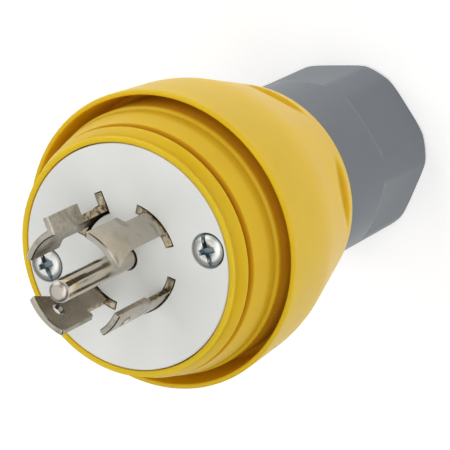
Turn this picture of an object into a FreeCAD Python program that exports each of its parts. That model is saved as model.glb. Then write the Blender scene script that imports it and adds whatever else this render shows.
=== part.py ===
import FreeCAD, Part
import os
import Sketcher
from FreeCAD import Placement, Rotation, Vector

# A watertight locking plug: four curved blades round a ground pin, a white face,
# an elastomer boot with a nose and a skirt, and a gland nut for the cord.
# It stands on the nut: Z runs up the plug's axis to the blades, X to the right face screw.

doc = FreeCAD.newDocument("locking_power_plug")
sheet = doc.addObject("Spreadsheet::Sheet", "Sizes")

# Lengths are in millimetres and angles in degrees. The plug's girth is built up outwards
# from the blades and the cord, and its height upwards from the cord entry.
DRIVING_SIZES = {
    # Blades
    "blade_inner_radius": 10.8,
    "blade_thickness": 1.52,
    "blade_reach": 20.6,
    "blade_angle": 35.3,
    "head_half_angle": 26.8,
    "root_half_angle": 20.0,
    "shank_high_angle": 16.8,
    "shank_low_angle": 13.0,
    "high_head_length": 12.0,
    "low_head_length": 6.6,
    "head_low_angle": 26.0,
    "notch_round": 0.6,
    "blade_tip_chamfer": 0.25,
    "blade_hole_radius": 1.5,
    "blade_hole_setback": 5.2,
    "narrow_head_angle": 17.2,
    "narrow_shank_angle": 12.2,
    "narrow_low_angle": 14.3,
    "narrow_notch_round": 0.3,
    "neutral_leg_angle": 100.8,
    "neutral_sweep": 47.2,
    "neutral_leg_length": 4.1,
    "neutral_leg_head_length": 11.3,
    "neutral_shank_sweep": 35.7,
    "neutral_head_length": 10.7,
    # Ground pin and its strap
    "ground_angle": 260.3,
    "pin_radius": 2.48,
    "pin_reach": 26.9,
    "pin_tip_round": 1.3,
    "pin_collar_step": 0.8,
    "pin_neck_step": 0.3,
    "pin_tail_step": 0.88,
    "pin_hole_gap": 0.35,
    "rivet_lip": 1.2,
    "rivet_height": 0.9,
    "strap_width": 6.0,
    # Terminals
    "terminal_offset": 3.68,
    "tab_overhang": 3.8,
    "tab_width": 8.0,
    "terminal_screw_radius": 1.7,
    "terminal_head_lip": 1.6,
    "terminal_head_length": 2.4,
    "terminal_screw_depth": 9.0,
    "terminal_slot_width": 0.9,
    "terminal_slot_depth": 1.1,
    "clamp_length": 7.0,
    "clamp_thickness": 1.4,
    # Terminal body and face
    "carrier_margin": 2.4,
    "carrier_length": 29.5,
    "face_thickness": 5.0,
    "face_overhang": 0.1,
    "face_edge_round": 0.35,
    "slot_clearance": 0.3,
    "neutral_slot_gap": 0.8,
    "root_clearance": 0.1,
    "thread_clearance": 0.05,
    "cut_margin": 1.0,
    # Face screws, their inserts and bosses
    "screw_inset": 4.36,
    "screw_shank_radius": 1.7,
    "screw_head_lip": 1.95,
    "screw_head_height": 2.05,
    "screw_dome_round": 1.6,
    "screw_recess": 1.5,
    "screw_length": 23.0,
    "screw_slot_width": 1.05,
    "screw_slot_depth": 0.8,
    "cross_width": 1.2,
    "cross_length": 3.9,
    "cross_depth": 1.2,
    "screw_slot_turn": 102.0,
    "insert_wall": 1.0,
    "insert_length": 9.0,
    "boss_wall": 0.8,
    "boss_length": 22.0,
    "boss_clearance": 0.2,
    "pilot_length": 16.0,
    # Housing
    "housing_clearance": 0.2,
    "housing_wall": 2.5,
    "cone_length": 13.0,
    "chamber_depth": 4.0,
    "funnel_length": 10.0,
    "collar_step": 0.9,
    "collar_thickness": 3.4,
    "spigot_wall": 4.8,
    # Gland nut
    "cord_radius": 8.5,
    "grommet_wall": 7.5,
    "nut_shoulder_step": 2.65,
    "nut_clearance": 0.35,
    "nut_wall": 2.75,
    "nut_thread_length": 16.5,
    "grip_rear_round": 0.9,
    "flat_count": 6,
    "flat_cut": 1.5,
    "flat_length": 22.0,
    "flat_turn": 24.0,
    "flat_corner_round": 1.2,
    "entry_flare": 3.5,
    "entry_length": 5.0,
    "seat_length": 4.0,
    "gland_clearance": 0.2,
    # Grommet, washer, clamp ring and O-ring
    "grommet_length": 15.6,
    "washer_thickness": 1.5,
    "washer_bore_clearance": 1.0,
    "clamp_ring_length": 7.8,
    "clamp_ring_flange": 3.4,
    "clamp_ring_clearance": 0.5,
    "finger_wall": 3.4,
    "clamp_slot_width": 1.4,
    "clamp_slot_count": 8,
    "spigot_gap": 0.5,
    "joint_gap": 3.1,
    "o_ring_clearance": 0.1,
    # Boot: the ribbed nose, from the face backwards
    "boot_clearance": 0.1,
    "nose_gap": 0.25,
    "lip_wall": 1.3,
    "lip_round": 0.35,
    "lip_land_length": 0.4,
    "lip_valley_cut": 0.35,
    "lip_valley_entry": 0.2,
    "lip_valley_width": 0.45,
    "rib_one_start_rise": 0.4,
    "rib_one_start_length": 0.15,
    "rib_one_rise": 1.35,
    "rib_one_length": 2.7,
    "groove_cut": 1.15,
    "groove_entry_length": 0.2,
    "groove_width": 0.95,
    "groove_exit_rise": 0.95,
    "groove_exit_length": 0.15,
    "rib_two_rise": 1.35,
    "rib_two_length": 4.1,
    "nose_land_rise": 0.15,
    "nose_land_length": 0.9,
    "nose_side_length": 2.3,
    "nose_step_rise": 0.7,
    "nose_step_length": 0.5,
    # Boot: the cavity, the skirt and the rim
    "cavity_length": 13.9,
    "cavity_floor_width": 1.25,
    "skirt_flare": 1.15,
    "skirt_lip_setback": 3.3,
    "skirt_lip_wall": 1.15,
    "waist_draw": 1.05,
    "waist_drop": 4.2,
    "waist_round": 22.0,
    "rim_overlap": 4.1,
    "rim_clearance": 0.6,
    "rim_wall": 3.4,
    "bead_rise": 0.55,
    "bead_length": 1.8,
    "scoop_count": 6,
    "scoop_turn": -1.5,
    "scoop_bite": 0.45,
    "scoop_ramp_rise": 4.5,
    "scoop_ramp_length": 8.7,
    "scoop_to_bead": 3.0,
    "scoop_floor_length": 0.5,
    "scoop_rise": 2.2,
    "scoop_half_width": 14.0,
}

# These follow from the driving sizes, so pieces that meet share one value.
DERIVED_SIZES = {
    # Girths from the blades outwards
    "blade_outer_radius": "=blade_inner_radius + blade_thickness",
    "neutral_leg_radius": "=blade_inner_radius + neutral_leg_length",
    "neutral_angle": "=neutral_leg_angle + 0.5 * neutral_sweep",
    "terminal_circle": "=blade_outer_radius + terminal_offset",
    "tab_end_radius": "=terminal_circle + tab_overhang",
    "carrier_radius": "=tab_end_radius + carrier_margin",
    "housing_bore": "=carrier_radius + housing_clearance",
    "housing_radius": "=housing_bore + housing_wall",
    "face_radius": "=housing_radius + face_overhang",
    "screw_circle": "=face_radius - screw_inset",
    "pin_collar_radius": "=pin_radius + pin_collar_step",
    "pin_neck_radius": "=pin_radius - pin_neck_step",
    "pin_tail_radius": "=pin_radius - pin_tail_step",
    "rivet_radius": "=pin_tail_radius + rivet_lip",
    "terminal_head_radius": "=terminal_screw_radius + terminal_head_lip",
    "screw_head_radius": "=screw_shank_radius + screw_head_lip",
    "insert_radius": "=screw_shank_radius + insert_wall",
    "boss_radius": "=insert_radius + boss_wall",
    # Girths from the cord outwards
    "washer_bore_radius": "=cord_radius + washer_bore_clearance",
    "clamp_ring_bore_radius": "=cord_radius + clamp_ring_clearance",
    "clamp_finger_radius": "=clamp_ring_bore_radius + finger_wall",
    "entry_radius": "=cord_radius + entry_flare",
    "gland_radius": "=cord_radius + grommet_wall",
    "gland_fit_radius": "=gland_radius - gland_clearance",
    "nut_bore": "=gland_radius + nut_shoulder_step",
    "grip_radius": "=nut_bore + nut_wall",
    "flat_radius": "=grip_radius - flat_cut",
    "spigot_radius": "=nut_bore - nut_clearance",
    "spigot_bore": "=spigot_radius - spigot_wall",
    "collar_radius": "=grip_radius + collar_step",
    "o_ring_radius": "=0.5 * (nut_bore + grip_radius)",
    "o_ring_section": "=0.5 * joint_gap - o_ring_clearance",
    # Heights from the cord entry upwards
    "grommet_base": "=entry_length + 3 * gland_clearance",
    "seat_top": "=entry_length + seat_length",
    "grommet_top": "=grommet_base + grommet_length",
    "washer_top": "=grommet_top + washer_thickness",
    "spigot_end": "=washer_top + clamp_ring_length",
    "nut_shoulder": "=spigot_end - spigot_gap",
    "grip_length": "=nut_shoulder + nut_thread_length",
    "collar_base": "=grip_length + joint_gap",
    "o_ring_height": "=0.5 * (grip_length + collar_base)",
    "collar_top": "=collar_base + collar_thickness",
    "carrier_base": "=collar_top + cone_length",
    "chamber_floor": "=carrier_base - chamber_depth",
    "throat": "=chamber_floor - funnel_length",
    "boss_top": "=chamber_floor + boss_length",
    "carrier_top": "=carrier_base + carrier_length",
    "face_height": "=carrier_top + face_thickness",
    "shoulder_height": "=face_height - screw_recess",
    "blade_tip": "=face_height + blade_reach",
    "high_notch_length": "=blade_reach - high_head_length",
    "low_notch_length": "=blade_reach - low_head_length",
    "neutral_leg_notch": "=blade_reach - neutral_leg_head_length",
    "neutral_high_notch": "=blade_reach - neutral_head_length",
    "tab_base": "=carrier_base - blade_thickness",
    "clamp_base": "=tab_base - clamp_thickness",
    # The boot's section: radii outwards from the face, depths backwards from it
    "lip_radius": "=face_radius + nose_gap + lip_wall",
    "valley_radius": "=lip_radius - lip_valley_cut",
    "valley_start_depth": "=lip_land_length + lip_valley_entry",
    "valley_end_depth": "=valley_start_depth + lip_valley_width",
    "rib_one_start_radius": "=valley_radius + rib_one_start_rise",
    "rib_one_start_depth": "=valley_end_depth + rib_one_start_length",
    "rib_one_radius": "=rib_one_start_radius + rib_one_rise",
    "rib_one_depth": "=rib_one_start_depth + rib_one_length",
    "groove_radius": "=rib_one_radius - groove_cut",
    "groove_top_depth": "=rib_one_depth + groove_entry_length",
    "groove_bottom_depth": "=groove_top_depth + groove_width",
    "rib_two_start_radius": "=groove_radius + groove_exit_rise",
    "rib_two_start_depth": "=groove_bottom_depth + groove_exit_length",
    "rib_two_radius": "=rib_two_start_radius + rib_two_rise",
    "rib_two_depth": "=rib_two_start_depth + rib_two_length",
    "nose_radius": "=rib_two_radius + nose_land_rise",
    "nose_land_depth": "=rib_two_depth + nose_land_length",
    "nose_side_depth": "=nose_land_depth + nose_side_length",
    "nose_step_radius": "=nose_radius + nose_step_rise",
    "nose_step_depth": "=nose_side_depth + nose_step_length",
    "cavity_depth": "=nose_step_depth + cavity_length",
    "cavity_floor_radius": "=nose_step_radius + cavity_floor_width",
    "skirt_bore_radius": "=cavity_floor_radius + skirt_flare",
    "skirt_lip_radius": "=skirt_bore_radius + skirt_lip_wall",
    "skirt_lip_height": "=face_height - nose_land_depth - skirt_lip_setback",
    "waist_radius": "=skirt_lip_radius - waist_draw",
    "waist_depth": "=cavity_depth + waist_drop",
    "rim_height": "=collar_base - rim_overlap",
    "rim_bore_radius": "=grip_radius + rim_clearance",
    "rim_radius": "=rim_bore_radius + rim_wall",
    "bead_height": "=rim_height + bead_length",
    "bead_radius": "=rim_radius + bead_rise",
    "scoop_floor_height": "=bead_height + scoop_to_bead",
    "scoop_floor_radius": "=bead_radius - scoop_bite",
    "scoop_front_radius": "=scoop_floor_radius + scoop_ramp_rise",
    "scoop_front_height": "=scoop_floor_height + scoop_ramp_length",
    # Halves, for what is drawn about a centre
    "half_screw_slot_width": "=0.5 * screw_slot_width",
    "half_cross_width": "=0.5 * cross_width",
    "half_cross_length": "=0.5 * cross_length",
    "half_tab_width": "=0.5 * tab_width",
    "half_strap_width": "=0.5 * strap_width",
    "half_clamp_length": "=0.5 * clamp_length",
    "half_terminal_slot": "=0.5 * terminal_slot_width",
}

ALL_SIZES = {**DRIVING_SIZES, **DERIVED_SIZES}
for row, (alias, content) in enumerate(ALL_SIZES.items(), 1):
    sheet.set(f"A{row}", alias)
    sheet.set(f"B{row}", str(content))
    sheet.setAlias(f"B{row}", alias)
doc.recompute()


def value_of(terms):
    """The number that a sum such as "face_height - rim_depth" stands for."""
    total = 0.0
    sign = 1.0
    for word in terms.split():
        if word == "+":
            sign = 1.0
        elif word == "-":
            sign = -1.0
        elif word in ALL_SIZES:
            total += sign * float(sheet.get(word))
        else:
            total += sign * float(word)
    return total


def expression_of(terms):
    """The same sum as an expression that reads the sheet."""
    return " ".join("Sizes." + word if word in ALL_SIZES else word for word in terms.split())


def bind(item, **sizes):
    """Ties each named property of an object to a sum of sheet sizes."""
    for name, terms in sizes.items():
        item.setExpression(name, expression_of(terms))


def depth(name):
    """The height of a level that the sheet gives as a depth below the face."""
    return "face_height - " + name


def new_body(label):
    body = doc.addObject("PartDesign::Body", label)
    body.Label = label
    return body


def attach(sketch, body, role, lift=None):
    """Puts a sketch on one of the body's own origin planes, lifted along its normal if asked."""
    plane = [feature for feature in body.Origin.OriginFeatures if feature.Role == role][0]
    sketch.AttachmentSupport = (plane, [""])
    sketch.MapMode = "FlatFace"
    if lift:
        sketch.setExpression("AttachmentOffset.Base.z", expression_of(lift))


def hold(sketch, name, element, point, direction, terms):
    """Keeps one point of a sketch at a distance from the origin that the sheet gives."""
    if terms == "0":
        axis = {"X": -2, "Y": -1}[direction]
        sketch.addConstraint(Sketcher.Constraint("PointOnObject", element, point, axis))
        return
    distance = Sketcher.Constraint("Distance" + direction, -1, 1, element, point, value_of(terms))
    index = sketch.addConstraint(distance)
    sketch.renameConstraint(index, name)
    sketch.setExpression("Constraints." + name, expression_of(terms))


def add_outline(sketch, tag, corners):
    """Adds a closed outline of straight runs, with each corner held by sheet sizes."""
    first = sketch.GeometryCount
    points = [Vector(value_of(across), value_of(up), 0) for across, up in corners]
    count = len(points)
    for i in range(count):
        sketch.addGeometry(Part.LineSegment(points[i], points[(i + 1) % count]), False)
    for i in range(count):
        following = first + (i + 1) % count
        sketch.addConstraint(Sketcher.Constraint("Coincident", first + i, 2, following, 1))
    for i, (across, up) in enumerate(corners):
        hold(sketch, f"{tag}x{i}", first + i, 1, "X", across)
        hold(sketch, f"{tag}y{i}", first + i, 1, "Y", up)


def outline_sketch(body, name, role, outlines, lift=None):
    sketch = body.newObject("Sketcher::SketchObject", name)
    attach(sketch, body, role, lift)
    for number, corners in enumerate(outlines):
        add_outline(sketch, f"o{number}", corners)
    return sketch


def circle_sketch(body, name, role, circles, lift=None):
    """A sketch of circles, each given as (across, up, radius)."""
    sketch = body.newObject("Sketcher::SketchObject", name)
    attach(sketch, body, role, lift)
    for number, (across, up, radius) in enumerate(circles):
        centre = Vector(value_of(across), value_of(up), 0)
        sketch.addGeometry(Part.Circle(centre, Vector(0, 0, 1), value_of(radius)), False)
        hold(sketch, f"cx{number}", number, 3, "X", across)
        hold(sketch, f"cy{number}", number, 3, "Y", up)
        index = sketch.addConstraint(Sketcher.Constraint("Radius", number, value_of(radius)))
        sketch.renameConstraint(index, f"r{number}")
        sketch.setExpression(f"Constraints.r{number}", expression_of(radius))
    return sketch


def revolve(body, name, sketch):
    """Turns a profile all the way round the plug's axis."""
    feature = body.newObject("PartDesign::Revolution", name)
    feature.Profile = sketch
    feature.ReferenceAxis = (sketch, ["V_Axis"])
    feature.Angle = 360.0
    sketch.Visibility = False
    return feature


def pad(body, name, sketch, length):
    feature = body.newObject("PartDesign::Pad", name)
    feature.Profile = sketch
    feature.setExpression("Length", length)
    return feature


def pocket(body, name, sketch, length, midplane=False):
    feature = body.newObject("PartDesign::Pocket", name)
    feature.Profile = sketch
    feature.setExpression("Length", length)
    feature.Midplane = midplane
    return feature


def around(body, name, feature, count):
    """Repeats a feature evenly round the plug's axis."""
    pattern = body.newObject("PartDesign::PolarPattern", name)
    pattern.Originals = [feature]
    pattern.Axis = ([f for f in body.Origin.OriginFeatures if f.Role == "Z_Axis"][0], [""])
    pattern.Angle = 360.0
    pattern.setExpression("Occurrences", count)
    body.Tip = pattern
    return pattern


def round_edges(body, name, radius, chosen):
    """Rounds the edges of the body's latest shape for which chosen(edge) is true."""
    doc.recompute()
    base = body.Tip
    edges = [f"Edge{i}" for i, edge in enumerate(base.Shape.Edges, 1) if chosen(edge)]
    feature = body.newObject("PartDesign::Fillet", name)
    feature.Base = (base, edges)
    feature.setExpression("Radius", expression_of(radius))
    body.Tip = feature
    return feature


# Two lengths that differ by less than this are taken to be the same.
SAME_LENGTH = 0.01


def same(length, terms):
    """True when a measured length is the one that the sheet gives."""
    return abs(length - value_of(terms)) < SAME_LENGTH


def is_ring(edge, radius, height):
    """True for a circle about the plug's axis with this radius, at this height."""
    if not isinstance(edge.Curve, Part.Circle):
        return False
    return same(edge.Curve.Radius, radius) and same(edge.Curve.Center.z, height)


def turn(item, angle):
    """Turns a finished sub-part about the plug's axis by an angle from the sheet."""
    item.Placement = Placement(Vector(0, 0, 0), Rotation(Vector(0, 0, 1), value_of(angle)))
    item.setExpression("Placement.Rotation.Angle", expression_of(angle))


def primitive(kind, name, x="0", y="0", z="0", **sizes):
    """A Part primitive with its sizes and place bound to the sheet."""
    item = doc.addObject("Part::" + kind, name)
    bind(item, **sizes)
    for axis, terms in (("x", x), ("y", y), ("z", z)):
        if terms != "0":
            item.setExpression("Placement.Base." + axis, expression_of(terms))
    return item


def cut(label, base, *tools):
    """The base less all the tools, as one labelled boolean."""
    tool = tools[0]
    if len(tools) > 1:
        tool = doc.addObject("Part::MultiFuse", label + "_tools")
        tool.Shapes = list(tools)
    item = doc.addObject("Part::Cut", label)
    item.Base = base
    item.Tool = tool
    item.Label = label
    return item


def sector(name, start, sweep, inner, outer, z, height):
    """A piece of a ring: start and sweep are expressions in degrees."""
    disc = primitive("Cylinder", name + "_outer", z=z, Radius=outer, Height=height)
    core = primitive("Cylinder", name + "_inner", z=z, Radius=inner, Height=height)
    disc.setExpression("Angle", sweep)
    item = doc.addObject("Part::Cut", name)
    item.Base = disc
    item.Tool = core
    item.Placement = Placement(Vector(0, 0, 0), Rotation(Vector(0, 0, 1), 1.0))
    item.setExpression("Placement.Rotation.Angle", start)
    return item


# The boot: one elastomer moulding with a ribbed nose, a deep cavity and a skirt
# that widens over the mating connector, and six finger scoops before its rear bead.
def make_seal_boot():
    body = new_body("seal_boot")
    nose_bore = "face_radius + nose_gap"
    bore = "housing_radius + boot_clearance"
    collar = "collar_radius + boot_clearance"
    corners = (
        (nose_bore, "face_height"),
        ("lip_radius", "face_height"),
        ("lip_radius", depth("lip_land_length")),
        ("valley_radius", depth("valley_start_depth")),
        ("valley_radius", depth("valley_end_depth")),
        ("rib_one_start_radius", depth("rib_one_start_depth")),
        ("rib_one_radius", depth("rib_one_depth")),
        ("groove_radius", depth("groove_top_depth")),
        ("groove_radius", depth("groove_bottom_depth")),
        ("rib_two_start_radius", depth("rib_two_start_depth")),
        ("rib_two_radius", depth("rib_two_depth")),
        ("nose_radius", depth("nose_land_depth")),
        ("nose_radius", depth("nose_side_depth")),
        ("nose_step_radius", depth("nose_step_depth")),
        ("nose_step_radius", depth("cavity_depth")),
        ("cavity_floor_radius", depth("cavity_depth")),
        ("skirt_bore_radius", "skirt_lip_height"),
        ("skirt_lip_radius", "skirt_lip_height"),
        ("waist_radius", depth("waist_depth")),
        ("bead_radius", "bead_height"),
        ("rim_radius", "rim_height"),
        ("rim_bore_radius", "rim_height"),
        ("rim_bore_radius", "collar_base - boot_clearance"),
        (collar, "collar_base - boot_clearance"),
        (collar, "collar_top"),
        (bore, "carrier_base"),
        (bore, "carrier_top"),
        (nose_bore, "carrier_top"),
    )
    revolve(body, "boot_form", outline_sketch(body, "boot_profile", "XZ_Plane", [corners]))
    round_edges(body, "lip_rounds", "lip_round", lambda edge: (
        is_ring(edge, "lip_radius", "face_height")
        or is_ring(edge, "skirt_lip_radius", "skirt_lip_height")
        or is_ring(edge, "skirt_bore_radius", "skirt_lip_height")
    ))
    round_edges(body, "waist_blend", "waist_round", lambda edge: (
        is_ring(edge, "waist_radius", depth("waist_depth"))
    ))
    scoop_corners = (
        ("scoop_front_radius", "scoop_front_height"),
        ("scoop_floor_radius", "scoop_floor_height"),
        ("scoop_floor_radius", "scoop_floor_height - scoop_floor_length"),
        ("scoop_floor_radius + scoop_rise",
         "scoop_floor_height - scoop_floor_length - scoop_rise"),
        ("scoop_front_radius", "scoop_floor_height - scoop_floor_length - scoop_rise"),
    )
    sketch = outline_sketch(body, "scoop_profile", "XZ_Plane", [scoop_corners])
    scoop = pocket(body, "scoop", sketch, "2 * Sizes.scoop_half_width", midplane=True)
    around(body, "scoops", scoop, "Sizes.scoop_count")
    turn(body, "scoop_turn")
    return body


# The gland nut: a round nylon sleeve with spanner flats at its rear, a seat for the
# grommet and a threaded bore that screws onto the housing's spigot.
def make_rear_grip():
    body = new_body("rear_grip")
    corners = (
        ("entry_radius", "0"),
        ("grip_radius - grip_rear_round", "0"),
        ("grip_radius", "grip_rear_round"),
        ("grip_radius", "grip_length"),
        ("nut_bore", "grip_length"),
        ("nut_bore", "nut_shoulder"),
        ("gland_radius", "nut_shoulder"),
        ("gland_radius", "seat_top"),
        ("entry_radius", "entry_length"),
    )
    revolve(body, "grip_form", outline_sketch(body, "grip_profile", "XZ_Plane", [corners]))
    flat_corners = (
        ("flat_radius", "0"),
        ("grip_radius + cut_margin", "0"),
        ("grip_radius + cut_margin", "flat_length"),
        ("flat_radius", "flat_length"),
    )
    sketch = outline_sketch(body, "flat_profile", "XZ_Plane", [flat_corners])
    flat = pocket(body, "flat", sketch, "Sizes.grip_radius", midplane=True)
    around(body, "flats", flat, "Sizes.flat_count")
    round_edges(body, "flat_rounds", "flat_corner_round", lambda edge: (
        isinstance(edge.Curve, Part.Line)
        and edge.BoundBox.ZLength > value_of("flat_length - grip_rear_round - cut_margin")
    ))
    turn(body, "flat_turn")


# The housing: the rigid core that the boot is stretched over, with a threaded spigot,
# a collar that the nut closes against and two bosses for the face screws.
def make_inner_housing():
    body = new_body("inner_housing")
    corners = (
        ("spigot_bore", "spigot_end"),
        ("spigot_radius", "spigot_end"),
        ("spigot_radius", "collar_base"),
        ("collar_radius", "collar_base"),
        ("collar_radius", "collar_top"),
        ("housing_radius", "carrier_base"),
        ("housing_radius", "carrier_top"),
        ("housing_bore", "carrier_top"),
        ("housing_bore", "chamber_floor"),
        ("spigot_bore", "throat"),
    )
    revolve(body, "housing_form", outline_sketch(body, "housing_profile", "XZ_Plane", [corners]))
    pilot_radius = "screw_shank_radius + boss_clearance"
    steps = (
        ("boss", pad, "boss_radius", "chamber_floor", "Sizes.boss_length"),
        ("insert_seat", pocket, "insert_radius", "boss_top", "Sizes.insert_length"),
        ("pilot", pocket, pilot_radius, "boss_top", "Sizes.pilot_length"),
    )
    for name, action, radius, lift, length in steps:
        circle = [("screw_circle", "0", radius)]
        sketch = circle_sketch(body, name + "_outline", "XY_Plane", circle, lift)
        around(body, name + "_pair", action(body, name, sketch, length), "2")


# A brass insert is moulded into each boss for a face screw.
def make_screw_insert(side, x):
    body = new_body("screw_insert_" + side)
    bore = "screw_shank_radius + thread_clearance"
    corners = (
        (bore, "boss_top - insert_length"),
        ("insert_radius", "boss_top - insert_length"),
        ("insert_radius", "boss_top"),
        (bore, "boss_top"),
    )
    revolve(body, "insert_form_" + side,
            outline_sketch(body, "insert_profile_" + side, "XZ_Plane", [corners]))
    body.setExpression("Placement.Base.x", expression_of(x))


def rotated(name, angle, *members):
    """Turns shapes that were made along X to their own angle round the plug's axis."""
    group = doc.addObject("Part::Compound", name)
    group.Links = list(members)
    group.setExpression("Placement.Rotation.Angle", angle)
    return group


def fused(label, *members):
    item = doc.addObject("Part::MultiFuse", label)
    item.Shapes = list(members)
    item.Refine = True
    item.Label = label
    return item


def leg_plate(name, angle, gap, z, height):
    """The flat leg that turns outwards along one edge of the L-shaped blade."""
    plate = primitive("Box", name + "_plate", x="blade_inner_radius - " + gap, y="0 - " + gap,
                      z=z, Length=f"neutral_leg_radius - blade_inner_radius + {gap} + {gap}",
                      Width=f"blade_thickness + {gap} + {gap}", Height=height)
    return rotated(name, angle, plate)


# The plain blades, each with its angle back from the first. Two have a cross hole, and one
# of those has a narrower head.
PLAIN_BLADES = {"blade_x": "0", "blade_y": "180", "blade_z": "90"}
DRILLED_BLADES = ("blade_y", "blade_z")
NARROW_BLADE = "blade_z"

# Angles about a blade's own middle: its two edges, and a pair well past them for cutting.
PLAIN_EDGES = ("-Sizes.head_half_angle", "Sizes.head_half_angle")
NEUTRAL_EDGES = ("-0.5 * Sizes.neutral_sweep", "0.5 * Sizes.neutral_sweep")
PAST_EDGES = ("-2 * Sizes.head_half_angle", "2 * Sizes.head_half_angle")

# Each cut narrows a blade between two angles, from a level and over a height.
ROOT_CUTS = {
    "root_low": (PAST_EDGES[0], "-Sizes.root_half_angle", "tab_base", "carrier_top - tab_base"),
    "root_high": ("Sizes.root_half_angle", PAST_EDGES[1], "tab_base", "carrier_top - tab_base"),
}
PLAIN_CUTS = {
    "low": (PAST_EDGES[0], "-Sizes.shank_low_angle", "face_height", "low_notch_length"),
    "high": ("Sizes.shank_high_angle", PAST_EDGES[1], "face_height", "high_notch_length"),
    **ROOT_CUTS,
}
NARROW_CUTS = {
    "low": (PAST_EDGES[0], "-Sizes.narrow_low_angle", "face_height", "blade_reach + cut_margin"),
    "high": ("Sizes.narrow_shank_angle", PAST_EDGES[1], "face_height", "high_notch_length"),
    **ROOT_CUTS,
}
NEUTRAL_CUTS = {
    "high": (NEUTRAL_EDGES[0] + " + Sizes.neutral_shank_sweep", PAST_EDGES[1], "face_height",
             "neutral_high_notch"),
    **ROOT_CUTS,
}


def between(name, edges, margin, base, height, inner_margin=None):
    """A sector between two angles, reaching a margin past each face of a blade."""
    low, high = edges
    inner = "blade_inner_radius - " + (inner_margin or margin)
    return sector(name, low, f"({high}) - ({low})", inner, "blade_outer_radius + " + margin,
                  base, height)


def head_ramp(label):
    """The wedge that is cut away between a plain blade's low shank and the tip of its head."""
    start = "Sizes.blade_outer_radius * sin(Sizes.shank_low_angle * 1 deg)"
    end = "Sizes.blade_inner_radius * sin(Sizes.head_low_angle * 1 deg)"
    ramp = primitive("Box", label + "_ramp", z="face_height + low_notch_length",
                     Width="low_head_length + cut_margin + cut_margin",
                     Height="blade_inner_radius", Length="blade_outer_radius + cut_margin")
    ramp.Placement = Placement(Vector(0, 0, 0), Rotation(Vector(1, 0, 0), 90.0))
    ramp.setExpression("Placement.Base.y", "-" + start)
    ramp.setExpression("Placement.Rotation.Angle",
                       f"90 deg + atan(({end} - {start}) / Sizes.low_head_length)")
    return ramp


def blade_strip(label, edges, cuts):
    """One curved blade about the X axis, from its root to its head, notched at its edges."""
    strip = between(label + "_strip", edges, "0", "tab_base", "blade_tip - tab_base")
    tools = [
        between(f"{label}_{name}", (low, high), "cut_margin", base, height)
        for name, (low, high, base, height) in cuts.items()
    ]
    return cut(label + "_notched", strip, *tools)


def screw_hole(label, base, height):
    return primitive("Cylinder", label + "_hole", x="terminal_circle", z=base, Height=height,
                     Radius="terminal_screw_radius + thread_clearance")


def terminal_tab(label):
    """The tab at a blade's root, folded outwards and drilled for the terminal screw."""
    plate = primitive("Box", label + "_tab_plate", x="blade_inner_radius", y="0 - half_tab_width",
                      z="tab_base", Length="tab_end_radius - blade_inner_radius",
                      Width="tab_width", Height="blade_thickness")
    return cut(label + "_tab", plate, screw_hole(label, "tab_base", "blade_thickness"))


def notch_edges(shape, levels):
    """The short radial edges of a blade at the given levels."""
    chosen = []
    for number, edge in enumerate(shape.Edges, 1):
        box = edge.BoundBox
        short = same(edge.Length, "blade_thickness") and same(box.ZLength, "0")
        level = any(same(box.ZMin, z) for z in levels)
        if isinstance(edge.Curve, Part.Line) and short and level:
            chosen.append(number)
    return chosen


def tip_edges(shape):
    """The long edges round a blade's tip."""
    return [
        number for number, edge in enumerate(shape.Edges, 1)
        if same(edge.BoundBox.ZMin, "blade_tip")
        and edge.Length > value_of("blade_thickness + cut_margin")
    ]


def eased(kind, label, base, size, numbers):
    """A rounded or chamfered copy of a shape."""
    item = doc.addObject("Part::" + kind, label)
    item.Base = base
    item.Edges = [(number, value_of(size), value_of(size)) for number in numbers]
    item.Label = label
    doc.recompute()
    return item


def finish_blade(label, form, levels, middle, corner_round="notch_round"):
    """Rounds the corners of the notches, eases the tip and turns the blade to its place."""
    doc.recompute()
    rounded = eased("Fillet", label + "_rounded", form, corner_round,
                    notch_edges(form.Shape, levels))
    blade = eased("Chamfer", label, rounded, "blade_tip_chamfer", tip_edges(rounded.Shape))
    blade.setExpression("Placement.Rotation.Angle", middle)


# The blades are stamped from nickel-plated brass strip, rolled to a common circle. Their
# notched shanks let the heads pass the mating contacts and lock behind them.
def make_plain_blade(label, back):
    if label == NARROW_BLADE:
        corner_round = "narrow_notch_round"
        strip = blade_strip(label, PLAIN_EDGES, NARROW_CUTS)
        trim = between(label + "_head_trim", ("Sizes.narrow_head_angle", PAST_EDGES[1]),
                       "cut_margin", "face_height", "blade_reach + cut_margin")
    else:
        corner_round = "notch_round"
        strip = blade_strip(label, PLAIN_EDGES, PLAIN_CUTS)
        trim = head_ramp(label)
    strip = cut(label + "_headed", strip, trim)
    if label in DRILLED_BLADES:
        bore = primitive("Cylinder", label + "_bore", z="blade_tip - blade_hole_setback",
                         Radius="blade_hole_radius", Height="blade_outer_radius + cut_margin")
        bore.Placement = Placement(bore.Placement.Base, Rotation(Vector(0, 1, 0), 90))
        strip = cut(label + "_drilled", strip, bore)
    form = fused(label + "_form", strip, terminal_tab(label))
    levels = ("face_height + high_notch_length", "blade_tip")
    finish_blade(label, form, levels, f"Sizes.blade_angle - {back}", corner_round)


def make_neutral_blade():
    label = "blade_neutral"
    strip = blade_strip(label, NEUTRAL_EDGES, NEUTRAL_CUTS)
    foot_leg = leg_plate(label + "_foot_leg", NEUTRAL_EDGES[0], "0", "carrier_top",
                         "face_thickness")
    head_leg = leg_plate(label + "_head_leg", NEUTRAL_EDGES[0], "0",
                         "face_height + neutral_leg_notch", "blade_reach - neutral_leg_notch")
    form = fused(label + "_form", strip, foot_leg, head_leg, terminal_tab(label))
    levels = ("face_height + neutral_high_notch",)
    finish_blade(label, form, levels, "Sizes.neutral_angle")


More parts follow.
